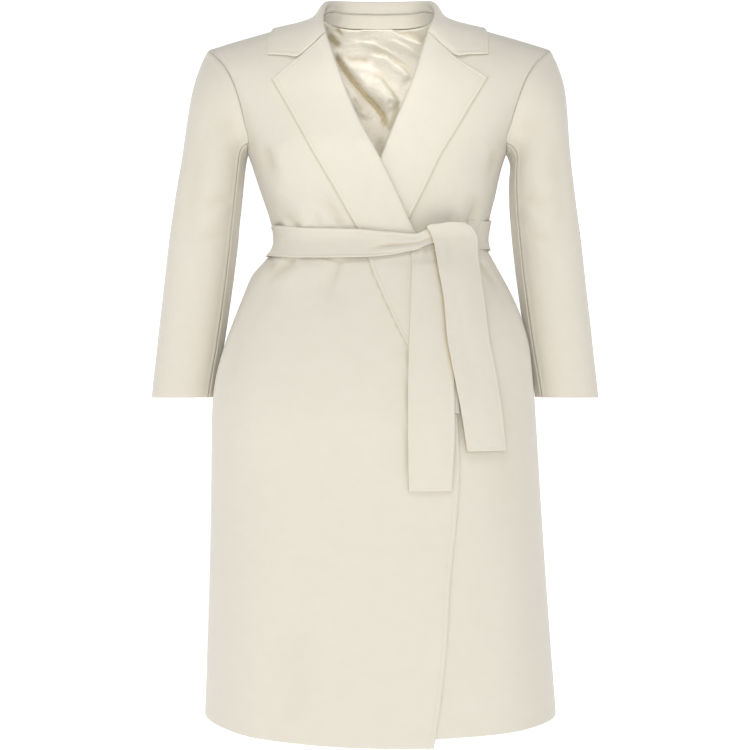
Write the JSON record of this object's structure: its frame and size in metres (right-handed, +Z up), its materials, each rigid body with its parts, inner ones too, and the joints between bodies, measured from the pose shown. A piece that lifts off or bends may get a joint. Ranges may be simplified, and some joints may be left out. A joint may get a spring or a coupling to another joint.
{
  "type": "belted wrap coat",
  "caption": "Long belted wrap coat with wide notched lapels and a shirt-style collar, filled out as worn with its fronts overlapped and the belt knotted at the waist.",
  "frame": {"origin": "between the shoulders at the height of the neck seam, where the wearer carries the coat", "axes": "+Z up the body, -Y out of the chest, +X to the wearer's left"},
  "size_m": [0.6299, 0.3706, 1.0241],
  "materials": {
    "ivory_wool": "soft double-faced wool with a short brushed nap",
    "ivory_satin": "smooth satin lining"
  },
  "bodies": {
    "root": {"back": "ivory_wool", "front_right": "ivory_wool", "front_left": "ivory_wool", "lapel_right": "ivory_wool", "lapel_left": "ivory_wool", "collar": "ivory_wool", "collar_stand": "ivory_wool", "sleeve_top_right": "ivory_wool", "sleeve_under_right": "ivory_wool", "sleeve_top_left": "ivory_wool", "sleeve_under_left": "ivory_wool", "belt_waist": "ivory_wool", "belt_knot": "ivory_wool", "belt_end_long": "ivory_wool", "belt_end_short": "ivory_wool", "back_lining": "ivory_satin"}
  },
  "joints": []
}
